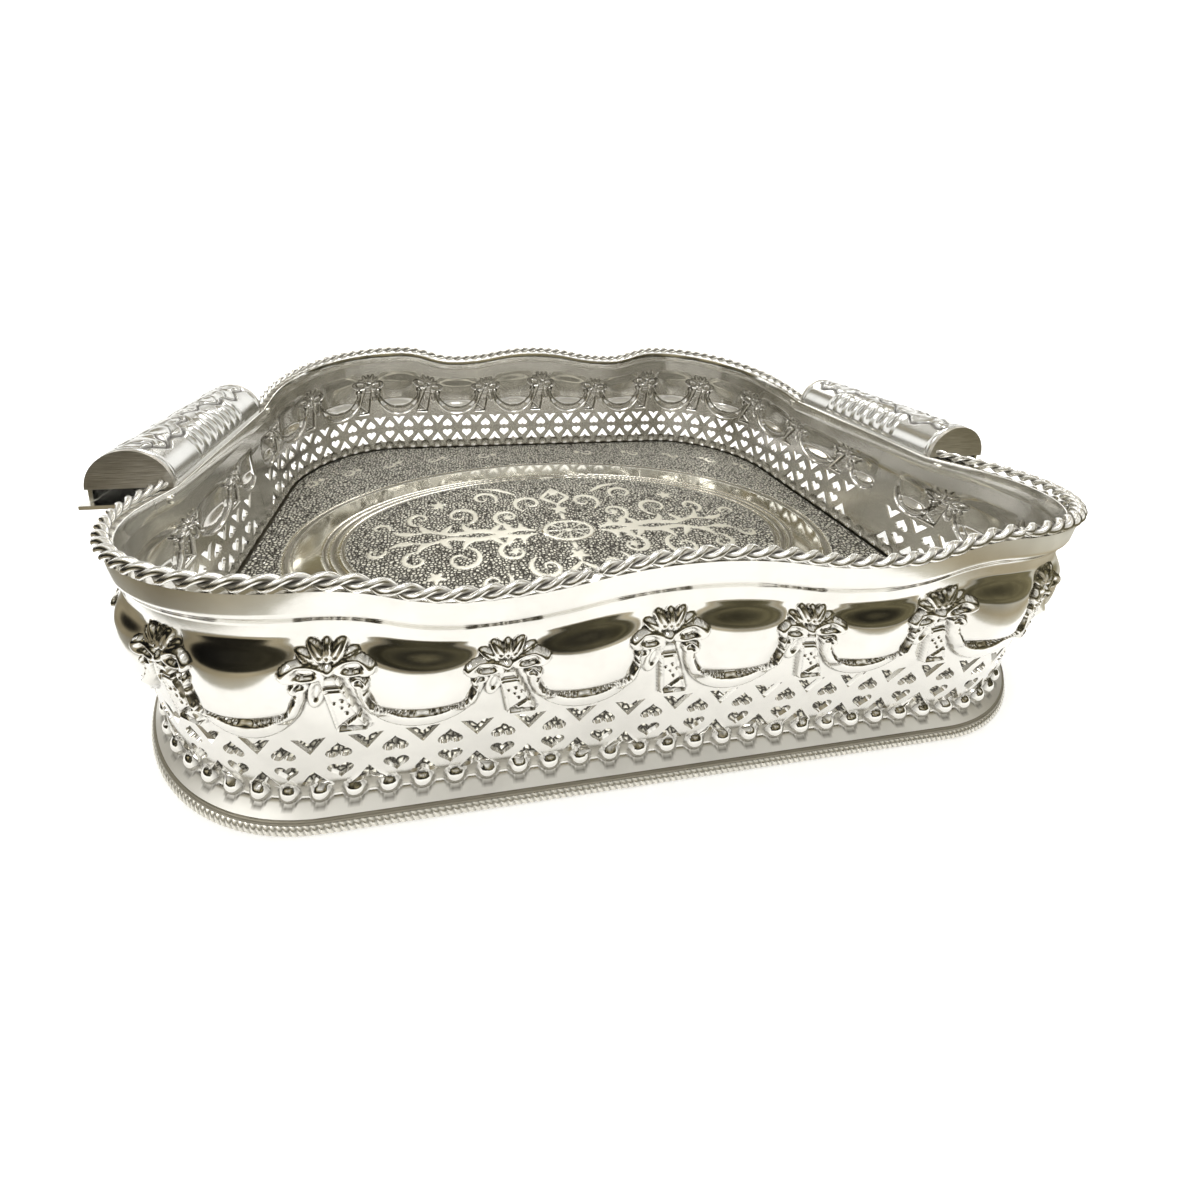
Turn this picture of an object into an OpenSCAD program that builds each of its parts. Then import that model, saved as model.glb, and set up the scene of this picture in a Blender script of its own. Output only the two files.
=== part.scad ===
/* [Plan] */
// Length of the gallery wall at the foot
base_len = 290; // [220:1:380]
// Depth of the gallery wall at the foot
base_dep = 221; // [170:1:300]
// Corner radius of the wall at the foot
corner_r = 56; // [40:1:80]
// How far the wall leans outwards between the foot and the rim
flare = 9; // [5:0.5:16]

/* [Heights] */
// Height of the wire's centre where a long side meets a corner
rim_h = 73; // [60:1:95]
// How far the rim dips on each side of the middle of a long side
wave = 6; // [2:0.5:8]
// Distance from the middle of a long side to each dip
dip_x = 54; // [30:1:60]
// Slope of the rim as it falls round a corner towards a handle
fall = 10; // [3:0.5:12]

/* [Sheet metal] */
// Thickness of the gallery wall
wall_t = 1.2; // [0.8:0.1:2]
// Thickness of the tray floor
floor_t = 1.6; // [1:0.1:3]
// Depth of the chased lines in the floor
chase = 0.4; // [0.2:0.1:0.6]
// Height of the embossed swags and bows
relief = 0.9; // [0.5:0.1:1.5]

/* [Foot] */
// Width of the foot border wire
border_w = 5; // [3:0.25:8]
// Height of the foot border wire
border_h = 3.2; // [2:0.1:5]
// How far the border wire stands out from the wall
border_out = 5; // [2:0.25:7]
// Thickness of the flange above the border wire
flange_t = 1.2; // [0.8:0.1:2]

/* [Pierced band] */
// Bows along one gallery strip, with three piercings to each
bows = 12; // [9:1:13]
// Height of the middle of the pierced band
band_z = 19.6; // [15:0.5:26]
// Distance from the middle of the band to the point of a vee
vee_gap = 3; // [2:0.25:5]
// Height of a vee
vee_h = 4.6; // [3:0.1:6]
// Width of a vee
vee_w = 8.2; // [5:0.1:10]
// Radius of a heart's dome
heart_r = 3; // [2:0.1:4]

/* [Swags and beads] */
// Height of the knots of the bows
bow_z = 50; // [40:1:60]
// Width of a swag between two bows
swag_w = 31; // [24:1:36]
// How far a swag hangs down
swag_drop = 13; // [8:0.5:16]
// Distance between two beads
bead_step = 8.2; // [6:0.1:12]
// Radius of a bead
bead_r = 2.4; // [1.5:0.1:3.5]
// Height of the bead row
bead_z = 9; // [8:0.1:12]

/* [Rim] */
// Radius of the twisted wire on the rim
wire_r = 1.85; // [1.2:0.05:3]
// Width of the flat band inside the rim
band_w = 6; // [4:0.5:9]
// Thickness of the flat band
band_t = 1; // [0.6:0.1:2]

/* [Handles] */
// Length of a handle
handle_len = 80; // [60:1:92]
// Radius of a handle's roll
handle_r = 13.5; // [10:0.5:18]
// Thickness of the plate under a handle
plate_t = 1.4; // [1:0.1:3]
// How far that plate runs past the roll
plate_lip = 1.5; // [0.5:0.5:4]
// Open slot between a handle's end plate and the plate below it
end_slot = 5; // [2:0.5:8]
// Thickness of an end plate
end_t = 1.2; // [0.8:0.1:2]
// Radius of the rivets that hold a handle
rivet_r = 1.6; // [1:0.1:2.5]

/* [Hidden] */
$fn = 64;
// Clearance between two pieces that are soldered face to face
fit = 0.05;

silver = [0.86, 0.86, 0.84];
silver_dim = [0.76, 0.75, 0.72];
silver_dark = [0.58, 0.57, 0.55];

// Sides and corners are numbered anticlockwise from the front: front, right, back, left.
// On a side, u runs anticlockwise along the wall from the middle of that side.
run_x = base_len / 2 - corner_r;
run_y = base_dep / 2 - corner_r;
function run(q) = q % 2 == 0 ? run_x : run_y;
function off(q) = q % 2 == 0 ? base_dep / 2 : base_len / 2;

// The foot, from the table up
flange_z = border_h + fit;
wall_z = flange_z + flange_t + fit;

// The wall's outer face, as a distance outwards at each height
function lean(z) = let (t = (z - wall_z) / (rim_h - wall_z)) flare * t * (1.25 - 0.25 * t);
function lean_slope(z) = (lean(z + 1) - lean(z - 1)) / 2;
levels = [for (i = [0:5]) wall_z + (rim_h - wall_z) * i / 5];
function face_line(out) = [for (z = levels) [lean(z) + out, z]];
function skin(inner, outer) = concat(face_line(outer), [for (i = [len(levels) - 1:-1:0]) face_line(inner)[i]]);

// The rim line: arcs along the long sides, a tilted arc at each corner, a slope down to the handle
wire_out = flare - wall_t / 2;
turn_r = corner_r + wire_out;
function bend(w, h) = (w * w + h * h) / (4 * h);
function drop(v, w, h) = let (r = bend(w, h)) v <= w / 2 ? r - sqrt(r * r - v * v) : h - r + sqrt(r * r - pow(w - v, 2));
function rim_long(u) = rim_h - (abs(u) <= dip_x ? drop(abs(u), dip_x, wave) : drop(run_x - abs(u), run_x - dip_x, wave));
side_u = run_y + turn_r * (1 - cos(fall));
side_z = rim_h - turn_r * sin(fall);
function rim_side(u) = side_z - (side_u - abs(u)) * tan(fall);
handle_end = handle_len / 2 + fit + end_t;
steepest = asin((run_x - dip_x) / 2 / bend(run_x - dip_x, wave));
seat = wire_r / cos(steepest) + fit;
handle_z = rim_side(handle_end) - seat;

// Pitch of the bows, with one blank step at each lap between the two strips
arc_r = corner_r + lean(bow_z);
quarter = PI / 2 * arc_r;
pitch = (2 * run_x + 2 * run_y + 2 * quarter) / (bows + 1 / 3);
step = pitch / 3;
ahead = floor(bows / 2) - 1;
first_step = -3 * (bows - 1 - ahead) - 1;
last_step = 3 * ahead + 1;
lap_u = (last_step + 1) * step - run_x - quarter - run_y;

module on_side(q) rotate([0, 0, 90 * q]) translate([0, -off(q), 0]) children();
module on_corner(q) rotate([0, 0, 90 * q]) translate([run(q), -run(q + 1), 0]) children();
module along(q, u0, u1) on_side(q) translate([u1, 0, 0]) rotate([0, 0, -90]) rotate([90, 0, 0])
    linear_extrude(u1 - u0) children();
module around(q) on_corner(q) rotate([0, 0, -90]) rotate_extrude(angle = 90) translate([corner_r, 0]) children();
module ring() for (q = [0:3]) {
    along(q, -run(q), run(q)) children();
    around(q) children();
}

// A place on the front strip, w measured round the wall from the middle of the front
module at(w) {
    past = abs(w) - run_x;
    if (past <= 0)
        on_side(0) translate([w, 0, 0]) children();
    else if (past < quarter)
        on_corner(w > 0 ? 0 : 3) rotate([0, 0, (w > 0 ? past : quarter - past) / arc_r * 180 / PI])
            translate([0, -corner_r, 0]) children();
    else
        on_side(w > 0 ? 1 : 3) translate([sign(w) * (past - quarter - run_y), 0, 0]) children();
}
module through(depth = 24) translate([0, 6, 0]) rotate([90, 0, 0]) linear_extrude(depth) children();

// The corner wire lies in a plane that tilts down towards the short side
module tilted(q) on_corner(q)
    if (q % 2 == 0)
        translate([0, -turn_r, rim_h]) rotate([-fall, 0, 0]) translate([0, turn_r, 0]) children();
    else
        translate([turn_r, 0, rim_h]) rotate([0, -fall, 0]) translate([-turn_r, 0, 0]) children();

// Everything above the rim line lowered by d
module above(d) {
    for (q = [0, 2])
        on_side(q) translate([0, 20, 0]) rotate([90, 0, 0]) linear_extrude(40) polygon(concat(
            [for (i = [-16:16]) [run_x * i / 16, rim_long(run_x * i / 16) - d]],
            [[run_x, rim_h + 20], [-run_x, rim_h + 20]]));
    for (q = [1, 3])
        on_side(q) translate([0, 20, 0]) rotate([90, 0, 0]) linear_extrude(40) polygon([
            [-run_y, rim_side(run_y) - d], [-handle_end, rim_side(handle_end) - d],
            [handle_end, rim_side(handle_end) - d], [run_y, rim_side(run_y) - d],
            [run_y, rim_h + 20], [-run_y, rim_h + 20]]);
    for (q = [0:3]) intersection() {
        on_corner(q) translate([0, -110, rim_h - 40]) cube([110, 110, 60]);
        tilted(q) translate([-150, -150, -d / cos(fall)]) cube([300, 300, 60]);
    }
}

module base_border() color(silver_dim) ring() {
    translate([border_out - border_w, 0]) square([border_w - border_h / 2, border_h]);
    translate([border_out - border_h / 2, border_h / 2]) circle(border_h / 2);
}

module foot_flange() color(silver) ring()
    translate([-4, flange_z]) square([border_out + 3.4, flange_t]);

module floor_plate() color(silver_dim) difference() {
    in = wall_t + fit;
    translate([0, 0, wall_z]) linear_extrude(floor_t) {
        square([base_len - 2 * in, 2 * run_y], center = true);
        square([2 * run_x, base_dep - 2 * in], center = true);
        for (x = [-1, 1], y = [-1, 1]) translate([x * run_x, y * run_y]) circle(corner_r - in);
    }
    for (k = [0.92, 0.82, 0.69, 0.66, 0.09])
        translate([0, 0, wall_z + floor_t - chase]) oval_ring(k, 0.8);
}
module oval_ring(k, w) difference() {
    a = base_len / 2 * k;
    b = k < 0.2 ? a * 0.66 : a - base_len * 0.16;
    linear_extrude(2) scale([a, b]) circle(1);
    translate([0, 0, -1]) linear_extrude(4) scale([a - w, b - w]) circle(1);
}

// Piercings: a vee over a chevron, and a heart upside down over a heart
module vee() translate([0, vee_gap]) polygon([
    [0, 0], [vee_w / 2, vee_h], [vee_w * 0.2, vee_h * 0.95], [0, vee_h * 0.6],
    [-vee_w * 0.2, vee_h * 0.95], [-vee_w / 2, vee_h]]);
module heart() translate([0, vee_gap]) difference() {
    circle(heart_r);
    translate([-heart_r, -2 * heart_r - 1.8]) square(2 * heart_r);
    polygon([[-heart_r * 0.6, -1.9], [0, -0.4], [heart_r * 0.6, -1.9]]);
}
module pair() for (m = [0, 1]) translate([0, band_z]) mirror([0, m]) children();

module piercings() {
    for (i = [first_step:last_step]) at(i * step) through() pair() vee();
    for (i = [first_step:last_step - 1]) at((i + 0.5) * step) through() pair() heart();
}

// Embossed work: a hanging crescent between bows, a knot with loops, and the folded end below
module swag() {
    r = (pow(swag_w / 2, 2) + pow(swag_drop, 2)) / (2 * swag_drop);
    inner = r + 1.2;
    translate([0, bow_z - 2]) difference() {
        translate([0, r - swag_drop]) circle(r);
        translate([0, inner - swag_drop + 4]) circle(inner);
        translate([-r, 0]) square(3 * r);
    }
    for (s = [-1, 1]) translate([s * swag_w / 2, bow_z - 2]) circle(1.3);
}
module bow() translate([0, bow_z]) {
    circle(1.9);
    for (s = [-1, 1]) translate([s * 4.4, 0]) scale([1.5, 0.8]) circle(2.2);
    for (a = [-38, 0, 38]) rotate(a) translate([0, 4]) scale([0.62, 1.2]) circle(2.2);
    polygon([[-1.6, -1], [1.6, -1], [2.6, -7], [4.6, -17], [-4.2, -17], [-2.6, -7]]);
}
module embossing() difference() {
    intersection() {
        strip(-0.4, relief);
        union() {
            for (k = [0:bows - 1]) at((3 * k + first_step + 0.5) * step) through() bow();
            for (k = [0:bows - 2]) at((3 * k + first_step + 2) * step) through() swag();
        }
    }
    // The wall is left plain where a handle's plate meets it
    for (q = [1, 3]) on_side(q) translate([-plate_half, -2 * flare, plate_z - 0.2]) cube([2 * plate_half, 3 * flare, rim_h]);
}
module bead() rotate([90, 0, 0]) rotate_extrude() intersection() {
    translate([0, -0.8]) circle(bead_r);
    translate([0, -0.4]) square([bead_r, bead_r]);
}
bead_turn = (last_step + 0.5) * step;
module beads() for (i = [-floor(bead_turn * 2 / bead_step):floor(bead_turn / bead_step)])
    if ((i + 0.5) * bead_step > (first_step - 0.4) * step && (i + 0.5) * bead_step < (last_step + 0.4) * step)
        at((i + 0.5) * bead_step) translate([0, -lean(bead_z), bead_z]) bead();

// One strip of the gallery's skin, from its inner to its outer distance off the wall's face
module strip(inner, outer) {
    along(3, lap_u + fit, run_y) polygon(skin(inner, outer));
    around(3) polygon(skin(inner, outer));
    along(0, -run_x, run_x) polygon(skin(inner, outer));
    around(0) polygon(skin(inner, outer));
    along(1, -run_y, lap_u - fit) polygon(skin(inner, outer));
}
module gallery() {
    difference() {
        union() {
            strip(-wall_t, 0);
            embossing();
            beads();
        }
        above(seat);
        piercings();
    }
}
module gallery_front_left() color(silver) gallery();
module gallery_back_right() color(silver) rotate([0, 0, 180]) gallery();

// Flat band inside the wall, one length to each side and the corner beside it
module rim_band(q) difference() {
    intersection() {
        union() {
            along(q, -run(q), run(q) - fit) polygon(skin(-wall_t - fit - band_t, -wall_t - fit));
            around((q + 3) % 4) polygon(skin(-wall_t - fit - band_t, -wall_t - fit));
        }
        above(seat + band_w);
    }
    above(seat);
}
module rim_band_front() color(silver) rim_band(0);
module rim_band_right() color(silver) rim_band(1);
module rim_band_back() color(silver) rim_band(2);
module rim_band_left() color(silver) rim_band(3);

// Wire: arcs in an upright plane along a long side, each from angle a0 to a1 about its middle,
// with a hair's clearance at both ends
module arc_piece(u, z, r, a0, a1) {
    hair = fit / 2 / r * 180 / PI;
    rotate([90, 0, 0]) translate([u, z, 0]) rotate([0, 0, a0 + hair])
        rotate_extrude(angle = a1 - a0 - 2 * hair) translate([r, 0]) circle(wire_r);
}
crest_r = bend(dip_x, wave);
crest_a = asin(dip_x / 2 / crest_r);
end_r = bend(run_x - dip_x, wave);
module wire_side(q) on_side(q) translate([0, -wire_out, 0]) children();
// The half of a long side before its middle, up to where the crest's arc begins
module wire_rise() {
    arc_piece(-run_x, rim_h - end_r, end_r, 90 - steepest, 90);
    arc_piece(-dip_x, rim_h - wave + end_r, end_r, 270 - steepest, 270);
    arc_piece(-dip_x, rim_h - wave + crest_r, crest_r, 270, 270 + crest_a);
}
// The rest of a long side, over the crest and down to the next dip and corner
module wire_crest() {
    arc_piece(0, rim_h - crest_r, crest_r, 90 - crest_a, 90 + crest_a);
    arc_piece(dip_x, rim_h - wave + crest_r, crest_r, 270 - crest_a, 270);
}
module wire_set() {
    arc_piece(dip_x, rim_h - wave + end_r, end_r, 270, 270 + steepest);
    arc_piece(run_x, rim_h - end_r, end_r, 90, 90 + steepest);
}
module wire_corner(q) tilted(q) rotate([0, 0, -90]) rotate_extrude(angle = 90) translate([turn_r, 0]) circle(wire_r);
// s is -1 for the end a side starts with and 1 for the end it finishes with
module wire_short(q, s) on_side(q) translate([s * side_u, -wire_out, side_z])
    rotate([0, -s * (90 + fall), 0]) translate([0, 0, fit]) cylinder(h = (side_u - handle_end - 0.4) / cos(fall), r = wire_r);

module wire_front_left() color(silver_dim) {
    wire_short(3, 1);
    wire_corner(3);
    wire_side(0) wire_rise();
}
module wire_front() color(silver_dim) wire_side(0) {
    wire_crest();
    wire_set();
}
module wire_front_right() color(silver_dim) {
    wire_corner(0);
    wire_short(1, -1);
}
module wire_back() color(silver_dim) {
    wire_short(1, 1);
    wire_corner(1);
    wire_side(2) {
        wire_rise();
        wire_crest();
        wire_set();
    }
    wire_corner(2);
    wire_short(3, -1);
}

// Handles: a hollow roll on the wall's edge, standing on a plate that is soldered to the wall
edge_out = lean(handle_z);
roll_out = edge_out - wall_t + handle_r;
plate_z = handle_z - end_slot - plate_t;
plate_half = handle_end + plate_lip;
module handle_plate(q) {
    start = lean(plate_z + plate_t) + fit;
    along(q, -plate_half, plate_half) translate([start, plate_z]) square([roll_out + handle_r + plate_lip - start, plate_t]);
}
module handle_roll(q) along(q, -handle_len / 2, handle_len / 2) {
    translate([roll_out, handle_z + fit]) intersection() {
        difference() {
            circle(handle_r, $fn = 128);
            circle(handle_r - wall_t, $fn = 128);
        }
        translate([-handle_r, 0]) square([2 * handle_r, handle_r]);
    }
    translate([roll_out + handle_r - wall_t, handle_z - end_slot + fit]) square([wall_t, end_slot + 0.1]);
}
module handle_end(q, s) {
    near = handle_len / 2 + fit;
    along(q, s > 0 ? near : -near - end_t, s > 0 ? near + end_t : -near) translate([roll_out, handle_z + fit]) intersection() {
        circle(handle_r, $fn = 128);
        translate([-handle_r, 0]) square([2 * handle_r, handle_r]);
    }
}
module handle_rivets(q) for (s = [-1, 1]) {
    u = handle_end + 5;
    z = rim_side(u) - seat - band_w / 2;
    tip = atan(lean_slope(z));
    on_side(q) translate([s * u, -lean(z) + wall_t + fit + band_t + fit, z]) rotate([tip - 90, 0, 0]) {
        cylinder(h = 0.5, r = rivet_r);
        translate([0, 0, 0.5]) cylinder(h = 0.5, r1 = rivet_r, r2 = rivet_r * 0.6);
    }
}
module handle_plate_left() color(silver) handle_plate(3);
module handle_plate_right() color(silver) handle_plate(1);
module handle_roll_left() color(silver) handle_roll(3);
module handle_roll_right() color(silver) handle_roll(1);
module handle_end_left_front() color(silver_dark) handle_end(3, 1);
module handle_end_left_back() color(silver_dark) handle_end(3, -1);
module handle_end_right_front() color(silver_dark) handle_end(1, -1);
module handle_end_right_back() color(silver_dark) handle_end(1, 1);
module handle_rivets_left() color(silver_dark) handle_rivets(3);
module handle_rivets_right() color(silver_dark) handle_rivets(1);

base_border();
foot_flange();
floor_plate();
gallery_front_left();
gallery_back_right();
rim_band_front();
rim_band_right();
rim_band_back();
rim_band_left();
wire_front_left();
wire_front();
wire_front_right();
wire_back();
handle_plate_left();
handle_plate_right();
handle_roll_left();
handle_roll_right();
handle_end_left_front();
handle_end_left_back();
handle_end_right_front();
handle_end_right_back();
handle_rivets_left();
handle_rivets_right();
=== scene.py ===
# %% [markdown]
# # A silver gallery tray
# The tray is an oblong floor with a sheet wall standing round it. The wall is stamped with swags, bows and
# beads, pierced with small vees and hearts, and finished with a twisted wire. A hollow roll on each short
# end is the handle. The CAD model gives every piece its size and place. This lesson makes the fine work on
# top of it: the embossing, the twist, the chasing, and the metal.

# %% Load the CAD frame
import math
import bpy
import numpy as np
from mathutils import Matrix, Vector
from mathutils.geometry import delaunay_2d_cdt


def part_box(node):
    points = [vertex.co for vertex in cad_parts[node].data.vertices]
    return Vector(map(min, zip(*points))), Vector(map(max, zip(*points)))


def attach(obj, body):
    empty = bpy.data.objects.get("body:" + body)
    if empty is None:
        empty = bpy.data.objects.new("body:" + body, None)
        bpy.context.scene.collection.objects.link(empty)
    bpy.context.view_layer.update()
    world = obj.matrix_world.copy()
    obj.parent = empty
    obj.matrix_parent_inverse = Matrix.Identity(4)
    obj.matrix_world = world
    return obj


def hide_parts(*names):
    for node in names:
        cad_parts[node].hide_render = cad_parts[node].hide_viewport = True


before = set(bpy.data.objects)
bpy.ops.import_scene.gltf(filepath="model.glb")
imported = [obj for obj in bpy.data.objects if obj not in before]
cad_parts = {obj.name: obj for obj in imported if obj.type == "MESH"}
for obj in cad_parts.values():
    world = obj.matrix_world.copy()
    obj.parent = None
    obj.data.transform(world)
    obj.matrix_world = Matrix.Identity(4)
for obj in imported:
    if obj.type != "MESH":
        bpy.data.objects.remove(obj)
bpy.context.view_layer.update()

# %% [markdown]
# ## Driving sizes
# Every size below is in millimetres and is read from the frame's boxes where a box can give it. The rest
# are the few that a box can't show, such as a corner radius. Working in millimetres keeps the numbers
# readable; only the last step, when a mesh is made, turns them into metres.

# %% Sizes
MM = 0.001


def box_mm(node):
    low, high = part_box(node)
    return np.array(low) / MM, np.array(high) / MM


floor_low, floor_high = box_mm("floor_plate")
wire_low, wire_high = box_mm("wire_front")
roll_low, roll_high = box_mm("handle_roll_right")
plate_low, plate_high = box_mm("handle_plate_right")

SHEET = 1.2
CORNER = 56.0
FLARE = 9.0
HALF_LENGTH = floor_high[0] + SHEET + 0.05
HALF_DEPTH = floor_high[1] + SHEET + 0.05
WALL_FOOT = floor_low[2]
WIRE = 1.85
RIM = wire_high[2] - WIRE
RUN_X = HALF_LENGTH - CORNER
RUN_Y = HALF_DEPTH - CORNER
HANDLE_Z = plate_high[2] + 5.0
HANDLE_END = roll_high[1] + 1.25
print(f"wall {2 * HALF_LENGTH:.0f} x {2 * HALF_DEPTH:.0f} mm at the foot, rim at {RIM:.1f} mm")
print(f"handles at {HANDLE_Z:.1f} mm")

# %% [markdown]
# ## Walking round the wall
# Nearly everything on this tray follows the wall: the stamping, the beads, the band and the wire. So one
# function says where the wall's foot is at a distance w round the tray, and which way is outwards there.
# It is walked anticlockwise from the middle of the front. Straight runs and corners need no separate code,
# because a point is always the corner's radius out from a centre that slides along the straights. The rim
# dips in two waves on the long sides and falls towards the handles on the short ones.

# %% Plan of the wall
WAVE = 6.0
DIP_X = 54.0
FALL = math.tan(math.radians(10.0))
BOW_Z = 50.0


def lean(z):
    """How far the wall's outer face has leaned out at a height."""
    t = (np.asarray(z, float) - WALL_FOOT) / (RIM - WALL_FOOT)
    return FLARE * t * (1.25 - 0.25 * t)


ARC = CORNER + float(lean(BOW_Z))
TURN = CORNER + FLARE - SHEET / 2
QUARTER = math.pi / 2 * ARC
HALF_ROUND = 2 * RUN_X + 2 * RUN_Y + 2 * QUARTER


def walk(w):
    """Signs and stage lengths of a walk of w: front run, first corner, side run, second corner."""
    along = np.asarray(w, float) + RUN_X
    half = np.floor(along / HALF_ROUND)
    along = along - half * HALF_ROUND
    sign = np.where(half % 2 == 0, 1.0, -1.0)
    x = np.clip(along, 0, 2 * RUN_X) - RUN_X
    first = np.clip((along - 2 * RUN_X) / QUARTER, 0, 1) * math.pi / 2
    y = np.clip(along - 2 * RUN_X - QUARTER, 0, 2 * RUN_Y) - RUN_Y
    second = np.clip((along - 2 * RUN_X - QUARTER - 2 * RUN_Y) / QUARTER, 0, 1) * math.pi / 2
    return sign, x, first, y, second


def foot_line(w):
    """Place on the wall's foot line and outward direction, each an array of two columns."""
    sign, x, first, y, second = walk(w)
    angle = first + second
    out = np.stack([np.sin(angle), -np.cos(angle)], -1)
    centre = np.stack([x, y], -1)
    return sign[..., None] * (centre + CORNER * out), sign[..., None] * out


def drop(v, run, fall):
    """Drop at a distance v along an S of two equal arcs."""
    r = (run * run + fall * fall) / (4 * fall)
    near = r - np.sqrt(np.clip(r * r - v * v, 0, None))
    far = fall - r + np.sqrt(np.clip(r * r - (run - v) ** 2, 0, None))
    return np.where(v <= run / 2, near, far)


def rim_line(w):
    """Height of the rim wire's centre round the tray."""
    _, x, first, y, second = walk(w)
    a = np.abs(x)
    wave = np.where(a <= DIP_X, drop(a, DIP_X, WAVE), drop(RUN_X - a, RUN_X - DIP_X, WAVE))
    turned = TURN * (1 - np.cos(first))
    inward = RUN_Y - np.maximum(np.abs(y), HANDLE_END)
    back = TURN * np.sin(second)
    fall = np.where(first < math.pi / 2, turned, TURN + np.where(second > 0, -back, inward))
    return RIM - np.where(first > 0, 0, wave) - FALL * fall


def carried(w, out, z):
    """Places a distance out from the foot line and at height z: one row for each walk w."""
    base, outward = foot_line(w)
    out, z = np.broadcast_arrays(np.asarray(out, float), np.asarray(z, float))
    plan = base[:, None, :] + outward[:, None, :] * out[..., None]
    return np.concatenate([plan, z[..., None]], -1)


def walk_steps(start, stop, gap):
    return np.linspace(start, stop, max(2, round((stop - start) / gap)) + 1)


lowest = float(rim_line(HALF_ROUND / 2))
print(f"half way round is {HALF_ROUND:.1f} mm, and the rim falls to {lowest:.1f} mm at the handles")

# %% [markdown]
# ## Making a piece
# A piece is a mesh from arrays of places and faces. Arrays are the quickest way to make tens of thousands
# of faces, and they keep the shape as a formula that can be read. Each piece rides on the tray's one body,
# hides the CAD nodes it stands for, and takes the finish it is given. A piece can also
# keep a number for each point, such as how deep in a hollow it lies, and its material reads that.

# %% Piece maker
def make_piece(name, places, faces, nodes, material, crease=50.0):
    mesh = bpy.data.meshes.new(name)
    mesh.from_pydata((np.asarray(places, float) * MM).tolist(), [], [list(f) for f in faces])
    mesh.validate()
    mesh.shade_smooth()
    mesh.set_sharp_from_angle(angle=math.radians(crease))
    mesh.materials.append(material)
    piece = bpy.data.objects.new(name, mesh)
    bpy.context.scene.collection.objects.link(piece)
    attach(piece, "root")
    if nodes:
        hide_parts(*nodes)
    print(f"{name}: {len(mesh.vertices)} points, {len(mesh.polygons)} faces")
    return piece


def store(piece, name, values):
    """Keeps one number for each point of a piece, for its material to read."""
    kept = piece.data.attributes.new(name, "FLOAT", "POINT")
    kept.data.foreach_set("value", np.asarray(values, np.float32).ravel())


def sweep_faces(rings, around, closed_path=False, closed_ring=True):
    """Quads that join ring after ring of points, all with the same number of points."""
    i = np.arange(rings if closed_path else rings - 1)
    j = np.arange(around if closed_ring else around - 1)
    i, j = [a.ravel() for a in np.meshgrid(i, j, indexing="ij")]
    ni, nj = (i + 1) % rings, (j + 1) % around
    return np.stack([i * around + j, ni * around + j, ni * around + nj, i * around + nj], -1).tolist()


def end_caps(rings, around):
    """A flat face on each end of a swept profile."""
    return [list(range(around))[::-1], list(range((rings - 1) * around, rings * around))]


# %% [markdown]
# ## Silver
# Silver plate is a nearly perfect mirror, so almost all of its look is what it reflects. What tells the eye
# that it is worked metal is the small unevenness of hand polishing, fine wiping scratches, and clouds of
# grey tarnish. So the material is a metal with small effects: wide soft dents in its bump, fine scratches in
# its roughness, cloudy tarnish in its colour, and painted shade: a darker colour where a stored value on the
# mesh says that a spot is low. Storing that value when the shape is made is simple and exact. One more
# stored value says where the cloth can't get in, and the metal stays less glossy there.

# %% Short ways to make a material
class Nodes:
    """Short ways to add nodes to one tree and to join them."""

    def __init__(self, tree):
        self.tree = tree
        self.link = tree.links.new

    def add(self, kind, **values):
        """A new node with its sockets and settings given by name."""
        node = self.tree.nodes.new(kind)
        for key, value in values.items():
            if key in node.inputs:
                node.inputs[key].default_value = value
            else:
                setattr(node, key, value)
        return node

    def stored(self, name, output="Fac"):
        return self.add("ShaderNodeAttribute", attribute_name=name).outputs[output]

    def maths(self, operation, *terms):
        """One sum or product of sockets and plain numbers."""
        node = self.add("ShaderNodeMath", operation=operation)
        for socket, term in zip(node.inputs, terms):
            if isinstance(term, float):
                socket.default_value = term
            else:
                self.link(term, socket)
        return node.outputs["Value"]

    def stretched(self, value, to_low, to_high, from_low=0.0, from_high=1.0, **settings):
        """Maps one range of a value onto another."""
        node = self.add("ShaderNodeMapRange", **settings)
        ends = {"From Min": from_low, "From Max": from_high, "To Min": to_low, "To Max": to_high}
        for key, end in ends.items():
            node.inputs[key].default_value = end
        self.link(value, node.inputs["Value"])
        return node.outputs["Result"]

    def noise(self, place, scale, detail, roughness=0.5):
        node = self.add("ShaderNodeTexNoise", Scale=scale, Detail=detail, Roughness=roughness)
        self.link(place, node.inputs["Vector"])
        return node.outputs["Fac"]

    def blend(self, share, first, second):
        """Mixes two colours, each a socket or three numbers."""
        node = self.add("ShaderNodeMix", data_type="RGBA")
        self.link(share, node.inputs["Factor"])
        for socket, colour in ((node.inputs[6], first), (node.inputs[7], second)):
            if isinstance(colour, tuple):
                socket.default_value = (*colour, 1)
            else:
                self.link(colour, socket)
        return node.outputs[2]

    def bump(self, height, strength, distance, under=None):
        node = self.add("ShaderNodeBump", Strength=strength, Distance=distance)
        self.link(height, node.inputs["Height"])
        if under is not None:
            self.link(under, node.inputs["Normal"])
        return node.outputs["Normal"]


class Finish(Nodes):
    """A material in the making."""

    def __init__(self, name, metal=1.0):
        self.material = bpy.data.materials.new(name)
        self.material.use_nodes = True
        super().__init__(self.material.node_tree)
        self.shader = self.tree.nodes["Principled BSDF"]
        self.shader.inputs["Metallic"].default_value = metal
        self.place = self.add("ShaderNodeTexCoord").outputs["Object"]

    def done(self, colour, rough, normal):
        self.link(colour, self.shader.inputs["Base Color"])
        self.link(rough, self.shader.inputs["Roughness"])
        self.link(normal, self.shader.inputs["Normal"])
        return self.material


# %% Silver materials
SCRATCH = 0.05


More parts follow.
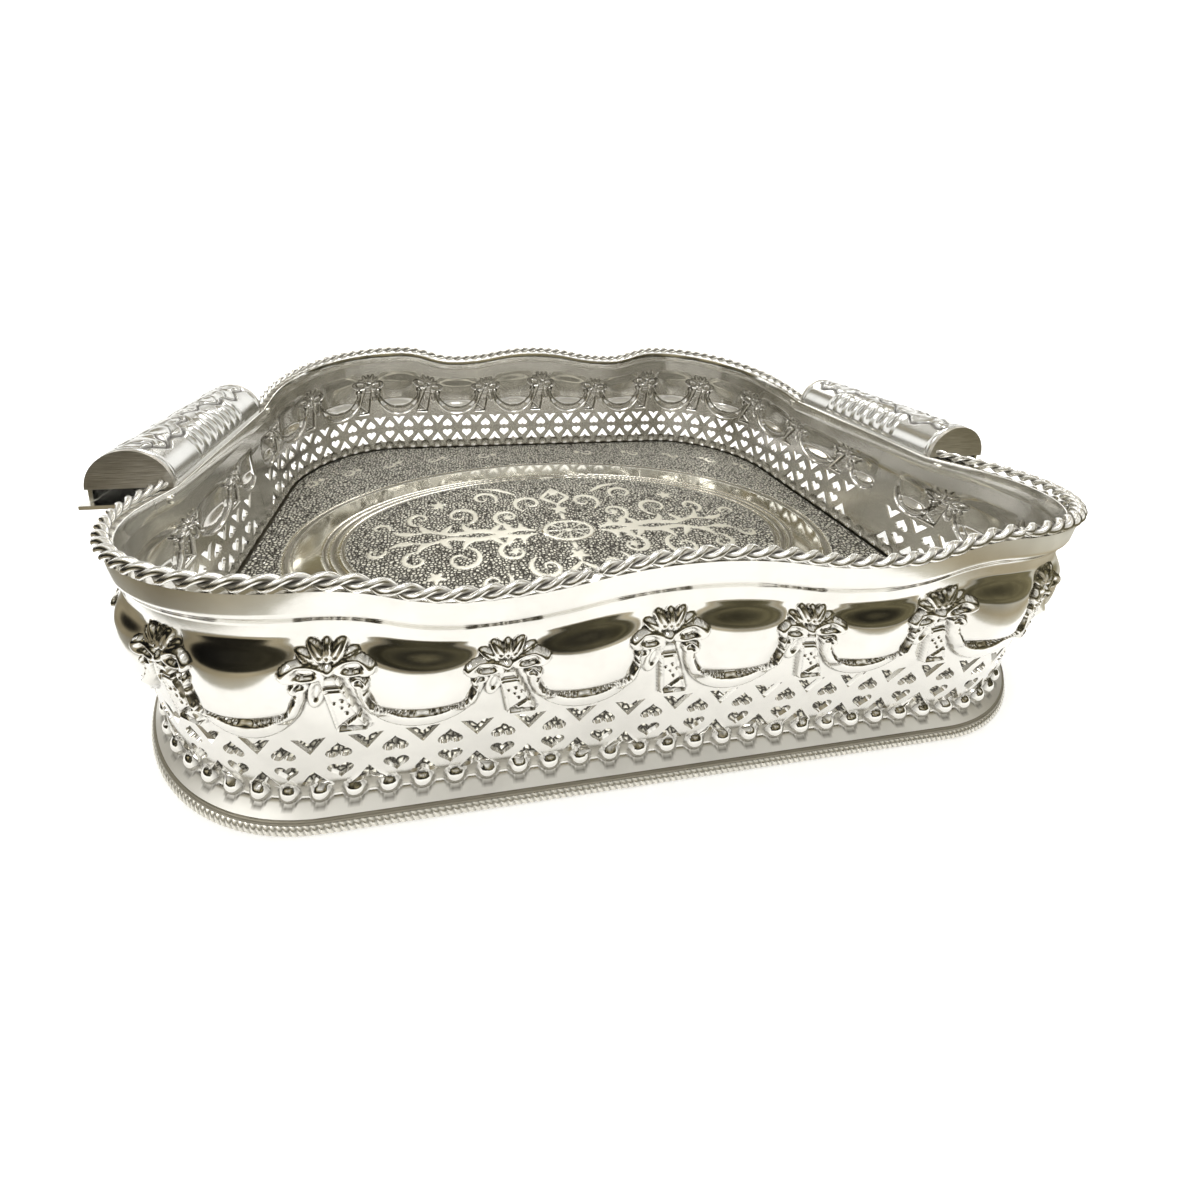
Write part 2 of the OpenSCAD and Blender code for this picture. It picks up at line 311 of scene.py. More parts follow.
def polished(finish, bright, dull, rough, dents=0.15):
    """Colour, roughness and surface of silver: bright where it is clean, dull where it is tarnished or in
    the painted shade of its hollows.
    """
    cloud = finish.noise(finish.place, 38.0, 5.0, 0.6)
    fine = finish.noise(finish.place, 900.0, 3.0)
    haze = finish.stretched(cloud, 0.0, 0.22, 0.45, 0.80)
    # The colour darkens with random clouds of tarnish and with the painted shade that a piece stores as
    # hollow.
    tarnish_and_shade = finish.maths("MAXIMUM", haze, finish.stored("hollow"))
    gloss = finish.stretched(fine, rough, rough + SCRATCH)
    gloss = finish.maths("MULTIPLY_ADD", tarnish_and_shade, 0.25, gloss)
    gloss = finish.maths("MULTIPLY_ADD", finish.stored("unpolished"), 0.30, gloss)
    dented = finish.bump(finish.noise(finish.place, 70.0, 2.0), dents, 0.0006)
    return finish.blend(tarnish_and_shade, bright, dull), gloss, finish.bump(fine, 0.25, 0.00002, dented)


def silver(name, bright, dull, rough, **more):
    finish = Finish(name)
    return finish.done(*polished(finish, bright, dull, rough, **more))


wall_silver = silver("wall_silver", (0.76, 0.745, 0.70), (0.09, 0.08, 0.06), 0.09)
band_silver = silver("band_silver", (0.88, 0.87, 0.83), (0.30, 0.28, 0.23), 0.10, dents=0.08)
wire_silver = silver("wire_silver", (0.90, 0.885, 0.84), (0.07, 0.06, 0.05), 0.20)
border_silver = silver("border_silver", (0.80, 0.775, 0.70), (0.14, 0.13, 0.10), 0.24)
# Dark dull silver for the foot ring: painted shade for the shadowed seam between the wall and the border
shadow_ring_silver = silver("shadow_ring_silver", (0.26, 0.24, 0.19), (0.08, 0.07, 0.05), 0.38)
roll_silver = silver("roll_silver", (0.70, 0.70, 0.68), (0.10, 0.09, 0.08), 0.20)
plate_silver = silver("plate_silver", (0.84, 0.83, 0.79), (0.30, 0.28, 0.24), 0.12)
print("silver finishes:", [m.name for m in bpy.data.materials if "silver" in m.name])

# %% [markdown]
# ## The stamping on the wall
# The gallery was struck from one repeating die and bent round the tray. One repeat holds a ribbon bow with
# a folded end hanging from it, and half a swag on each side. Here the die is a height for every point of
# the sheet: how far the metal stands out. Each motif is a distance turned into a rounded ridge, and the
# highest motif wins, as it does when metal is pushed up from behind. Writing it as heights gives true
# relief, which catches light and shows in outline, and the same function serves every repeat.

# %% Ridges and hollows
REPEATS = 12
PITCH = HALF_ROUND / (REPEATS + 1 / 3)
STEP = PITCH / 3
FIRST, LAST = -6, 5
BOW_SHIFT = -STEP / 2
TOP = RIM - 1.98
LIP = 9.0
SWAG_HALF = PITCH / 2 - 5.0


def ridge(distance, width, height):
    """A round-topped ridge, nothing beyond its width."""
    return height * np.sqrt(np.clip(1 - (distance / width) ** 2, 0, None))


def smooth(t):
    t = np.clip(t, 0, 1)
    return t * t * (3 - 2 * t)


def to_segment(x, y, x0, y0, x1, y1):
    """Distance from points to a straight stroke."""
    dx, dy = x1 - x0, y1 - y0
    t = np.clip(((x - x0) * dx + (y - y0) * dy) / (dx * dx + dy * dy), 0, 1)
    return np.hypot(x - x0 - t * dx, y - y0 - t * dy)


def on_oval(x, y, angle, long, wide):
    """How far along and across a turned oval points are, with its edge at 1."""
    a = math.radians(angle)
    return (x * math.cos(a) + y * math.sin(a)) / long, (-x * math.sin(a) + y * math.cos(a)) / wide


def loop(x, y, cx, cy, angle, long, wide, height, wire=0.8):
    """A ribbon loop seen from the front: an oval ridge with a shallow hollow inside."""
    u, v = on_oval(x - cx, y - cy, angle, long, wide)
    r = np.sqrt(u * u + v * v)
    return np.maximum(ridge((r - 1) * wide, wire, height), np.where(r < 1, height * 0.45 * (1 - r * r), 0))


# %% The bow and its hanging end
def petal(x, y, cx, cy, angle, long, wide, height):
    """A domed leaf of ribbon with a shallow crease along its middle."""
    u, v = on_oval(x - cx, y - cy, angle, long, wide)
    dome = height * np.sqrt(np.clip(1 - u * u - v * v, 0, None))
    return dome * (1 - 0.3 * np.exp(-((v / 0.28) ** 2)) * (u > -0.4))


def bow(x, y):
    """Five upright leaves, two side loops and a knot."""
    h = ridge(np.hypot(x, y), 1.5, 2.1)
    for side in (-1, 1):
        h = np.maximum(h, loop(x, y, side * 5.0, 0.3 + 0.5 * side, 10 * side, 3.5, 2.0, 1.5, wire=0.9))
        h = np.maximum(h, petal(x, y, side * 4.1, 3.3, 90 - 54 * side, 3.0, 1.35, 1.3))
        h = np.maximum(h, petal(x, y, side * 2.2, 4.7, 90 - 25 * side, 3.4, 1.45, 1.6))
    return np.maximum(h, petal(x, y, 0.0, 4.6, 90, 3.2, 1.0, 1.9))


def hanging_end(x, y):
    """A ribbon end that widens downwards to the right, with a folded corner and five small punch marks."""
    down = -y
    lean_x = x - 0.26 * np.clip(down - 3, 0, None)
    half = 2.0 + 0.105 * down
    inside = np.minimum(half - np.abs(lean_x), np.minimum(down - 1.2, 19.3 - down))
    body = 1.25 * smooth(inside / 0.7)
    edge = ridge(inside - 0.45, 0.55, 0.35) * (inside > 0)
    fold = np.minimum(to_segment(lean_x, down, 3.4, 13.2, -2.4, 17.6),
                      to_segment(lean_x, down, -2.4, 17.6, 3.6, 18.3))
    cap = np.minimum(np.abs(down - 4.6), np.abs(down - 6.0) + 0.2)
    cut = ridge(fold, 0.45, 0.8) + ridge(cap, 0.35, 0.5) * (np.abs(lean_x) < half)
    for px, py in ((-1.2, 9.6), (0.6, 9.0), (1.7, 10.6), (-0.2, 11.2), (0.5, 12.9)):
        cut = cut + ridge(np.hypot(lean_x - px, down - py), 0.42, 0.8)
    back_fold = loop(x, y, -3.0, -6.3, 80, 3.6, 1.35, 1.0, wire=0.6)
    return np.maximum(body + edge - cut * (inside > 0.1), back_fold)


# %% The swag, the field above it, and the curled ends
SWAG_TOP = 4.6
SWAG_IN = 10.4
SWAG_OUT = 16.4


def swag(x, y, size=1.0):
    """Height of a hanging crescent about its middle: a full flat body with a groove along its top."""
    below = (y + SWAG_TOP) < 0.6
    inner = np.hypot(x / (0.84 * SWAG_HALF * size), (y + SWAG_TOP) / SWAG_IN)
    outer = np.hypot(x / (SWAG_HALF * size), (y + SWAG_TOP) / SWAG_OUT)
    t = (inner - 1) / np.maximum(inner - outer, 1e-6)
    inside = (inner > 1) & (outer < 1) & below
    body = (1.15 + 0.35 * np.sin(math.pi * np.clip(t, 0, 1))) * smooth(t / 0.12) * smooth((1 - t) / 0.16)
    groove = 0.8 * np.exp(-((t - 0.17) / 0.05) ** 2)
    return np.where(inside, np.maximum(body - groove, 0), 0)


def field(x, y):
    """The plain metal between the bows swells out above each swag, and is pulled in again under the lip."""
    across = np.clip(1 - (x / (0.9 * SWAG_HALF)) ** 2, 0, None)
    rounded = np.clip(1 - (np.clip(y + 8.0, 0, None) / 16.5) ** 2, 0, None)
    swell = 3.4 * across ** 0.7 * smooth((y + 15.2) / 5.5) * rounded
    pulled = -0.9 * smooth((y - 1.0) / 6.0)
    return swell + pulled


def curl(x, y):
    """A small scroll, open in the middle."""
    r = np.hypot(x, y)
    return np.maximum(ridge(r - 1.35, 0.65, 1.4), ridge(r, 0.6, 1.0))


def stamping(w, v):
    """Height of the whole die at a walk w along a strip and an unstretched height v."""
    y = v - BOW_Z
    w = w - BOW_SHIFT
    k = np.clip(np.round(w / PITCH), FIRST, LAST)
    x = w - k * PITCH
    gap = np.floor(w / PITCH)
    at_end = (gap < FIRST) | (gap >= LAST)
    side = np.where(gap < FIRST, -1.0, 1.0)
    end_bow = np.where(gap < FIRST, FIRST, LAST)
    middle = np.where(at_end, end_bow * PITCH + side * 0.98 * STEP, (gap + 0.5) * PITCH)
    size = np.where(at_end, 0.62, 1.0)
    sx = w - middle
    h = np.maximum(swag(sx, y, size), np.maximum(bow(x, y), hanging_end(x, y)))
    for end in (-1, 1):
        scroll = curl(sx - end * (SWAG_HALF - 1.2) * size, y + 4.0)
        h = np.maximum(h, np.where(at_end & (side == end), 0, scroll))
    return h + field(sx / size, y)


BEAD_Z = 8.5
BEAD_R = 2.75
BEAD_STEP = 8.2
BEAD_HIGH = 1.9
SKIRT_TOP = 7.2
SKIRT_OUT = 3.7


def bead_distance(w, v):
    """Distance to the middle of the nearest bead."""
    across = (w / BEAD_STEP + 0.5) % 1 * BEAD_STEP - BEAD_STEP / 2
    return np.hypot(across, v - BEAD_Z)


def beads(w, v):
    """Domes along the foot of the wall, which flares below them to meet the foot ring."""
    skirt = SKIRT_OUT * np.clip((SKIRT_TOP - v) / (SKIRT_TOP - WALL_FOOT), 0, 1) ** 1.2
    return np.maximum(ridge(bead_distance(w, v), BEAD_R, BEAD_HIGH), skirt)


def lip(v):
    return 1.3 * smooth((v - (TOP - LIP)) / 3.2)


print(f"one repeat is {PITCH:.1f} mm, {REPEATS} to a strip")

# %% [markdown]
# ## Piercing
# A piercing is cut through flat sheet before the wall is bent. The mesh does the same: points are spread
# over the whole flat strip, the outlines of the holes are given as fixed edges, and Blender's own
# triangulation joins everything without crossing an outline. Triangles inside an outline are dropped.
# This leaves crisp holes with no boolean step, and both strips are bent from the same flat one.

# %% Outlines of the piercings
BAND_Z = 19.6


def vee(turn):
    """Triangle standing on its tip, with a notch in its top edge."""
    half, high = 4.1, 5.5
    points = [(0, 0), (half, high), (1.5, high - 0.2), (0, high - 1.7), (-1.5, high - 0.2), (-half, high)]
    return [(px, turn * (py + 3.0) + BAND_Z) for px, py in points]


def heart(turn):
    """Heart with its tip away from the band's middle."""
    points = []
    for a in np.linspace(0, 2 * math.pi, 29)[:-1]:
        lobe = 13 * math.cos(a) - 5 * math.cos(2 * a) - 2 * math.cos(3 * a) - math.cos(4 * a)
        points.append((3.1 * math.sin(a) ** 3, 3.3 - 0.18 * lobe))
    return [(px, turn * py + BAND_Z) for px, py in points]


outlines = []
for i in range(3 * FIRST - 1, 3 * LAST + 2):
    for turn in (1, -1):
        outlines.append([(px + i * STEP, pz) for px, pz in vee(turn)])
        if i < 3 * LAST + 1:
            outlines.append([(px + (i + 0.5) * STEP, pz) for px, pz in heart(turn)])
print(len(outlines), "piercings in a strip")


# %% Flat sheet
def spread(x0, x1, z0, z1, gap):
    """Rows of points, every other row shifted by half a gap."""
    nx, nz = max(2, round((x1 - x0) / gap)), max(2, round((z1 - z0) / gap))
    x, z = np.meshgrid(np.linspace(x0, x1, nx + 1), np.linspace(z0, z1, nz + 1))
    x[1::2, 1:-1] += (x1 - x0) / nx / 2 * 0.9
    return np.stack([x.ravel(), z.ravel()], -1)


def hole_distance(points, outline):
    """Distance from each point to an outline."""
    sides = zip(outline, outline[1:] + outline[:1])
    return np.min([to_segment(points[:, 0], points[:, 1], *start, *end) for start, end in sides], 0)


def close_to(points, outline):
    """Which points are near enough to an outline to be worth testing."""
    return (np.abs(points[:, 0] - outline[0][0]) < 12) & (points[:, 1] > 8) & (points[:, 1] < 32)


def inside_outline(points, outline):
    """Even-odd test of points against one outline."""
    inside = np.zeros(len(points), bool)
    for (x0, y0), (x1, y1) in zip(outline, outline[1:] + outline[:1]):
        if y0 == y1:
            continue
        cross = (points[:, 1] > min(y0, y1)) & (points[:, 1] <= max(y0, y1))
        inside ^= cross & (points[:, 0] < x0 + (points[:, 1] - y0) * (x1 - x0) / (y1 - y0))
    return inside


def flat_sheet(x0, x1, holes, fine=0.4, plain=0.65):
    """Triangulated strip of flat sheet from x0 to x1, pierced by the holes."""
    rows = [spread(x0, x1, WALL_FOOT, 15.0, plain * 0.9), spread(x0, x1, 15.0 + plain, 28.5, plain),
            spread(x0, x1, 28.5 + fine, 62.0, fine), spread(x0, x1, 62.0 + plain, TOP, plain)]
    points = np.unique(np.round(np.concatenate(rows), 4), axis=0)
    keep = np.ones(len(points), bool)
    for outline in holes:
        near = close_to(points, outline)
        keep[near] &= hole_distance(points[near], outline) > 0.3
        keep[near] &= ~inside_outline(points[near], outline)
    points = points[keep]
    flat, edges = [Vector(p) for p in points.tolist()], []
    for outline in holes:
        start = len(flat)
        flat += [Vector(p) for p in outline]
        edges += [(start + i, start + (i + 1) % len(outline)) for i in range(len(outline))]
    places, _, faces, *_ = delaunay_2d_cdt(flat, edges, [], 0, 1e-5)
    places = np.array([p[:] for p in places])
    faces = np.array(faces)
    middle = places[faces].mean(1)
    solid = np.ones(len(faces), bool)
    for outline in holes:
        near = close_to(middle, outline)
        solid[near] &= ~inside_outline(middle[near], outline)
    return places, faces[solid]


START, STOP = (3 * FIRST - 2) * STEP + 0.1, (3 * LAST + 2) * STEP - 0.1
sheet, sheet_faces = flat_sheet(START, STOP, outlines)
print(f"flat strip {STOP - START:.0f} mm long: {len(sheet)} points, {len(sheet_faces)} triangles")

# %% [markdown]
# ## Bending the sheet round the tray
# The flat strip is shifted along the walk, pushed out by the die's height, stretched so that its top meets
# the rim line, and wrapped round the plan. The inner face is the same sheet a thickness further in, because
# stamped sheet shows its pattern from behind too. Every free edge, round a hole or along the top, then gets
# a strip of faces that joins the two. Painted shade darkens either face where it is lower than the metal
# round it.

# %% Bend and thicken
METAL = 1.0
STRETCH_FROM = 28.0


def true_height(w, v):
    """Unstretched height to real height: the part above the piercings stretches to meet the rim."""
    top = rim_line(w) - (RIM - TOP)
    soft_end = TOP - LIP
    t = np.clip((v - STRETCH_FROM) / (soft_end - STRETCH_FROM), 0, 1)
    stretched = STRETCH_FROM + t * (top - LIP - STRETCH_FROM) + np.clip(v - soft_end, 0, None)
    return np.where(v > STRETCH_FROM, stretched, v)


def free_edges(faces):
    edges = np.concatenate([faces[:, [0, 1]], faces[:, [1, 2]], faces[:, [2, 0]]])
    keys = np.sort(edges, 1)
    _, index, count = np.unique(keys, axis=0, return_index=True, return_counts=True)
    return edges[index[count == 1]]


def recess_shade(w, v):
    """Painted shade: how far each spot lies below the metal round it, seen from outside and from inside,
    plus a ring round each bead's foot and a little all over the inner face.
    """
    reach = 0.5
    here = stamping(w, v)
    around = sum(stamping(w + dx * reach, v + dv * reach) for dx, dv in ((1, 0), (-1, 0), (0, 1), (0, -1)))
    foot = smooth(1 - np.abs(bead_distance(w, v) - BEAD_R - 0.2) / 0.5) * 0.7
    lower = around / 4 - here
    return np.clip(np.maximum(lower * 2.3, foot), 0, 1), np.clip(0.18 - lower * 3.4, 0, 1)


def gallery_strip(name, shift, node):
    """One stamped strip, its walk shifted by a share of the way round."""
    w, v = sheet[:, 0], sheet[:, 1]
    height = stamping(w, v)
    low = beads(w, v)
    where = w + shift
    z = true_height(where, v)
    outer = height + low + lip(v)
    inner = 0.85 * height + low - METAL
    outer, inner = [carried(where, (lean(z) + out)[:, None], z[:, None])[:, 0] for out in (outer, inner)]
    count = len(sheet)
    area = np.cross(sheet[sheet_faces[:, 1]] - sheet[sheet_faces[:, 0]],
                    sheet[sheet_faces[:, 2]] - sheet[sheet_faces[:, 0]])
    front = np.where(area[:, None] > 0, sheet_faces, sheet_faces[:, ::-1])
    rim = free_edges(front)
    joined = np.stack([rim[:, 1], rim[:, 0], rim[:, 0] + count, rim[:, 1] + count], -1)
    faces = front.tolist() + (front[:, ::-1] + count).tolist() + joined.tolist()
    piece = make_piece(name, np.concatenate([outer, inner]), faces, [node], wall_silver, crease=70)
    # Painted shade in the hollows, round the bead feet and on the inner face, stored as hollow for the
    # colour
    outside_shade, inside_shade = recess_shade(w, v)
    store(piece, "hollow", np.concatenate([outside_shade, inside_shade]))
    store(piece, "unpolished", np.concatenate([smooth((7.4 - v) / 1.4), 0 * v]))


# %% The two strips
gallery_strip("gallery_front_left_sheet", 0.0, "gallery_front_left")
gallery_strip("gallery_back_right_sheet", HALF_ROUND, "gallery_back_right")

# %% [markdown]
# ## The twisted wire
# Two drawn wires were twisted together and soldered along the edge. Seen end on they make a figure of eight
# that turns as it goes along. So the wire is one profile, a figure of eight with a fine groove on the back
# of each strand, carried along the rim and turned by the distance travelled. One turn is the rope's lay.

# %% Rope
STRAND = 0.94
LAY = 11.6
ROPE_OUT = FLARE - SHEET / 2


def rope(name, start, stop, node):
    w = walk_steps(start, stop, 0.45)
    base, outward = foot_line(w)
    centre = np.concatenate([base + outward * ROPE_OUT, rim_line(w)[:, None]], -1)
    ahead = np.gradient(centre, axis=0)
    travelled = np.concatenate([[0], np.cumsum(np.linalg.norm(np.diff(centre, axis=0), axis=1))])
    ahead /= np.linalg.norm(ahead, axis=1)[:, None]
    side = np.concatenate([outward, np.zeros((len(w), 1))], -1)
    up = np.cross(side, ahead)
    up *= np.sign(up[:, 2:])
    around = 36
    angle = np.linspace(0, 2 * math.pi, around, endpoint=False)
    spoke = np.abs(np.cos(angle))
    radius = np.maximum(2 * STRAND * spoke, 0.32)
    nick = np.minimum(angle % math.pi, math.pi - angle % math.pi)
    radius = radius - 0.16 * np.exp(-((nick - 0.12) / 0.13) ** 2)
    taper = np.minimum(travelled, travelled[-1] - travelled)
    taper = np.sqrt(np.clip(taper / 1.2, 0.02, 1))
    turn = angle[None, :] + (2 * math.pi * travelled / LAY)[:, None]
    r = radius[None, :] * taper[:, None]
    places = (centre[:, None, :] + side[:, None, :] * (r * np.cos(turn))[..., None]
              + up[:, None, :] * (r * np.sin(turn))[..., None])
    faces = [f[::-1] for f in sweep_faces(len(w), around)] + [c[::-1] for c in end_caps(len(w), around)]
    piece = make_piece(name, places.reshape(-1, 3), faces, [node], wire_silver, crease=60)
    # Painted shade: darker where the two strands meet and along each strand's groove
    deep = np.clip(1.25 - radius / STRAND / 1.1, 0, 1) + 0.5 * np.exp(-((nick - 0.12) / 0.1) ** 2)
    store(piece, "hollow", np.tile(np.clip(deep, 0, 1), len(w)))


SIDE_MIDDLE = RUN_X + QUARTER + RUN_Y
HANDLE_STOP = HANDLE_END + 0.4
JOINT_AT = -DIP_X / 2
rope("rope_front_left", -SIDE_MIDDLE + HANDLE_STOP, JOINT_AT - 0.3, "wire_front_left")
rope("rope_front", JOINT_AT + 0.3, RUN_X - 0.2, "wire_front")
rope("rope_front_right", RUN_X + 0.2, SIDE_MIDDLE - HANDLE_STOP, "wire_front_right")
rope("rope_back", SIDE_MIDDLE + HANDLE_STOP, 2 * HALF_ROUND - SIDE_MIDDLE - HANDLE_STOP, "wire_back")

# %% [markdown]
# ## Foot and band
# The tray stands on a half-round wire rolled with fine slanting flutes. A thin flat ring above it carries
# the wall. Inside the rim runs a flat ribbon that covers the wall's raw edge. All three are plain profiles
# carried round. Only the flutes need close steps, because each is less than two millimetres wide. The ring
# gets a dark, dull finish as painted shade, so it reads as the shadowed seam between the wall and the
# border.

# %% Fluted border
border_low, border_high = box_mm("base_border")
BORDER_OUT = border_high[0] - HALF_LENGTH
BORDER_H = border_high[2]
FLUTE = 1.7


def fluted_border():
    w = walk_steps(0, 2 * HALF_ROUND, 0.26)[:-1]
    turn = np.linspace(-90, 90, 15)
    a = np.radians(turn)[None, :]
    half = BORDER_H / 2
    flutes = round(2 * HALF_ROUND / FLUTE)
    wave = np.abs(np.sin(math.pi * (flutes * w / (2 * HALF_ROUND))[:, None] + a * 1.3)) ** 0.7
    r = half - 0.34 * (1 - wave) * np.cos(a)
    out = BORDER_OUT - half + r * np.cos(a)
    z = half + r * np.sin(a)
    inner_out = np.full((len(w), 2), BORDER_OUT - 5.0)
    out = np.concatenate([out, inner_out], 1)
    z = np.concatenate([z, np.tile([BORDER_H, 0.0], (len(w), 1))], 1)
    around = out.shape[1]
    places = carried(w, out, z).reshape(-1, 3)
    faces = sweep_faces(len(w), around, closed_path=True)
    piece = make_piece("fluted_border", places, faces, ["base_border"], border_silver, crease=60)
    # Painted shade: the flute valleys get a darker colour through the stored hollow value
    store(piece, "hollow", np.concatenate([(1 - wave) ** 1.5, np.zeros((len(w), 2))], 1))


fluted_border()


# %% Ring under the wall
def soft_profile(out0, out1, z0, z1, soft, points=4):
    """Corners of a rectangle rounded by soft, anticlockwise in the plane of out and z."""
    profile = []
    for cx, cz, start in ((out1 - soft, z0 + soft, -90), (out1 - soft, z1 - soft, 0),
                          (out0 + soft, z1 - soft, 90), (out0 + soft, z0 + soft, 180)):
        for k in range(points):
            a = math.radians(start + 90 * k / (points - 1))
            profile.append((cx + soft * math.cos(a), cz + soft * math.sin(a)))
    return np.array(profile)


def plain_ring(name, node, profile, material):
    w = walk_steps(0, 2 * HALF_ROUND, 1.5)[:-1]
    places = carried(w, np.tile(profile[:, 0], (len(w), 1)), np.tile(profile[:, 1], (len(w), 1)))
    faces = sweep_faces(len(w), len(profile), closed_path=True)
    make_piece(name, places.reshape(-1, 3), faces, [node], material)


flange_low, flange_high = box_mm("foot_flange")
flange_out = flange_high[0] - HALF_LENGTH
flange_profile = soft_profile(-4, flange_out, flange_low[2], flange_high[2], 0.5)
plain_ring("foot_ring", "foot_flange", flange_profile, shadow_ring_silver)

# %% Ribbon inside the rim
BAND_W = 6.0
BAND_T = 1.0
SEAT = RIM - TOP


def ribbon(name, node, start, stop):
    w = walk_steps(start, stop, 1.2)
    profile = soft_profile(0, BAND_T, -BAND_W, 0, 0.3)
    top = rim_line(w) - SEAT
    z = top[:, None] + profile[None, :, 1]
    out = lean(z) - SHEET - 0.05 - BAND_T + profile[None, :, 0]
    around = len(profile)
    faces = sweep_faces(len(w), around) + end_caps(len(w), around)
    make_piece(name, carried(w, out, z).reshape(-1, 3), faces, [node], band_silver)


corner_joint = RUN_X + QUARTER
ribbon("ribbon_front", "rim_band_front", -corner_joint + 0.1, RUN_X - 0.1)
ribbon("ribbon_right", "rim_band_right", RUN_X + 0.1, corner_joint + 2 * RUN_Y - 0.1)
ribbon("ribbon_back", "rim_band_back", HALF_ROUND - corner_joint + 0.1, HALF_ROUND + RUN_X - 0.1)
ribbon("ribbon_left", "rim_band_left", HALF_ROUND + RUN_X + 0.1,
       HALF_ROUND + corner_joint + 2 * RUN_Y - 0.1)

# %% [markdown]
# ## The chased floor
# The floor's picture was made with punches: lines are driven down, leaves are left standing, and the ground
# between them is matted with a round-ended punch until it sparkles. The lines and leaves are cut into the
# mesh as heights. The matting is too fine for that, so the mesh stores where it is, and the material breaks
# that ground into small domes with dark gaps.

# %% Floor sheet
FLOOR_IN = SHEET + 0.05
FLOOR_GAP = 0.6
MEDAL_X, MEDAL_Y = 110.0, 59.0
PATH_X, PATH_Y = 129.0, 77.0
HUB_X, HUB_Y = 12.8, 8.6
WIDER_X, WIDER_Y = 1.1, 1.06
LEAF_HIGH = 0.15


def floor_grid():
    reach_y = HALF_DEPTH - FLOOR_IN
    gap = FLOOR_GAP * 1
    y = np.linspace(-reach_y, reach_y, round(2 * reach_y / gap) + 1)
    r = CORNER - FLOOR_IN
    past = np.clip(np.abs(y) - RUN_Y, 0, None)
    half = RUN_X + np.sqrt(np.clip(r * r - past * past, 0, None))
    columns = round(2 * (RUN_X + r) / gap) + 1
    across = np.linspace(-1, 1, columns)
    return across[None, :] * half[:, None], np.repeat(y[:, None], columns, 1)


floor_x, floor_y = floor_grid()
leaf = np.zeros(floor_x.shape)


def press(px, py, reach, height):
    """Raises a small dome at one place; many of them along a line make a stroke."""
    rows = np.nonzero(np.abs(floor_y[:, 0] - py) < reach)[0]
    if not len(rows):
        return
    cols = np.nonzero(np.abs(floor_x[rows[0]] - px) < reach * 1.1)[0]
    if not len(cols):
        return
    block = slice(rows[0], rows[-1] + 1), slice(cols[0], cols[-1] + 1)
    d = np.hypot(floor_x[block] - px, floor_y[block] - py)
    leaf[block] = np.maximum(leaf[block], height * smooth((reach - d) / 0.45))


def stroke(points, widest, mirrored=True):
    """A leaf-like stroke through points: thin at its ends, widest a third of the way along."""
    points = np.array(points, float)
    at = np.concatenate([[0], np.cumsum(np.hypot(*np.diff(points, axis=0).T))])
    s = np.linspace(0, at[-1], max(6, int(at[-1] / 0.4)))
    x, y = np.interp(s, at, points[:, 0]), np.interp(s, at, points[:, 1])
    kernel = np.ones(7) / 7
    if len(s) > 20:
        x[3:-3], y[3:-3] = np.convolve(x, kernel, "valid"), np.convolve(y, kernel, "valid")
    t = s / s[-1]
    width = widest * (0.28 + 0.72 * np.sin(math.pi * t ** 0.7) ** 1.2)
    for px, py, reach in zip(x, y, width):
        for sx in ((1, -1) if mirrored else (1,)):
            for sy in (1, -1):
                press(WIDER_X * sx * px, WIDER_Y * sy * py, reach + 0.3, LEAF_HIGH)


def spiral(cx, cy, r0, r1, a0, a1, widest):
    a = np.radians(np.linspace(a0, a1, 24))
    r = np.linspace(r0, r1, 24)
    stroke(np.stack([cx + r * np.cos(a), cy + r * np.sin(a)], -1), widest)


# %% Scrolls and leaves
def flower(cx, cy, size):
    for k in range(5):
        a = math.radians(72 * k + 18)
        tip = (cx + size * math.cos(a), cy + size * math.sin(a))
        stroke([(cx, cy), tip], size * 0.3)


# Stem from the wheel to the medallion's end, with leaves curling off both sides
stroke([(15, 1.5), (22, 3), (30, 1), (40, 3.5), (52, 1.5), (62, 5), (70, 3)], 1.7)
for root_x, root_y, tip_x, tip_y in ((18, 2, 21, 8), (24, 2.5, 28, 9.5), (33, 1.5, 30, 8), (42, 3, 47, 10),
                                     (55, 2, 52, 9), (60, 4, 66, 11), (68, 3.5, 77, 6)):
    bend_x, bend_y = (root_x + tip_x) / 2 + 1.6, (root_y + tip_y) / 2 - 0.8
    stroke([(root_x, root_y), (bend_x, bend_y), (tip_x, tip_y)], 1.5)
spiral(26, 14, 7.5, 1.2, -100, 330, 1.1)
spiral(48, 17, 8.5, 1.4, 250, -170, 1.2)
spiral(66, 16, 6.0, 1.0, -80, 300, 1.0)
spiral(14, 26, 8.0, 1.2, -60, 380, 1.2)
spiral(36, 33, 7.0, 1.2, 220, -200, 1.1)
spiral(83, 9, 4.5, 0.8, 200, -120, 0.9)
flower(0, 19, 4.0)
flower(58, 28, 3.6)
flower(26, 14, 2.4)
flower(0, 36, 3.4)
stroke([(0, 10), (0, 15)], 1.2)
stroke([(0, 24), (7, 31), (0, 41)], 1.2)
stroke([(20, 36), (28, 42), (38, 44)], 1.2)
# Sprigs on the ground outside the polished path
for k in range(7):
    a = math.radians(12 + 11.5 * k)
    cx, cy = 1.12 * PATH_X * math.cos(a) ** 0.8, 1.16 * PATH_Y * math.sin(a) ** 0.8
    if abs(cx) < HALF_LENGTH - 8 and abs(cy) < HALF_DEPTH - 8:
        spiral(cx, cy, 4.0, 0.8, 30 * k, 30 * k + 330, 0.8)
        flower(cx + 6.5 * math.cos(a + 1.6), cy + 6.5 * math.sin(a + 1.6), 2.0)
print("leaf work covers", round(100 * float((leaf > 0).mean()), 1), "% of the floor")


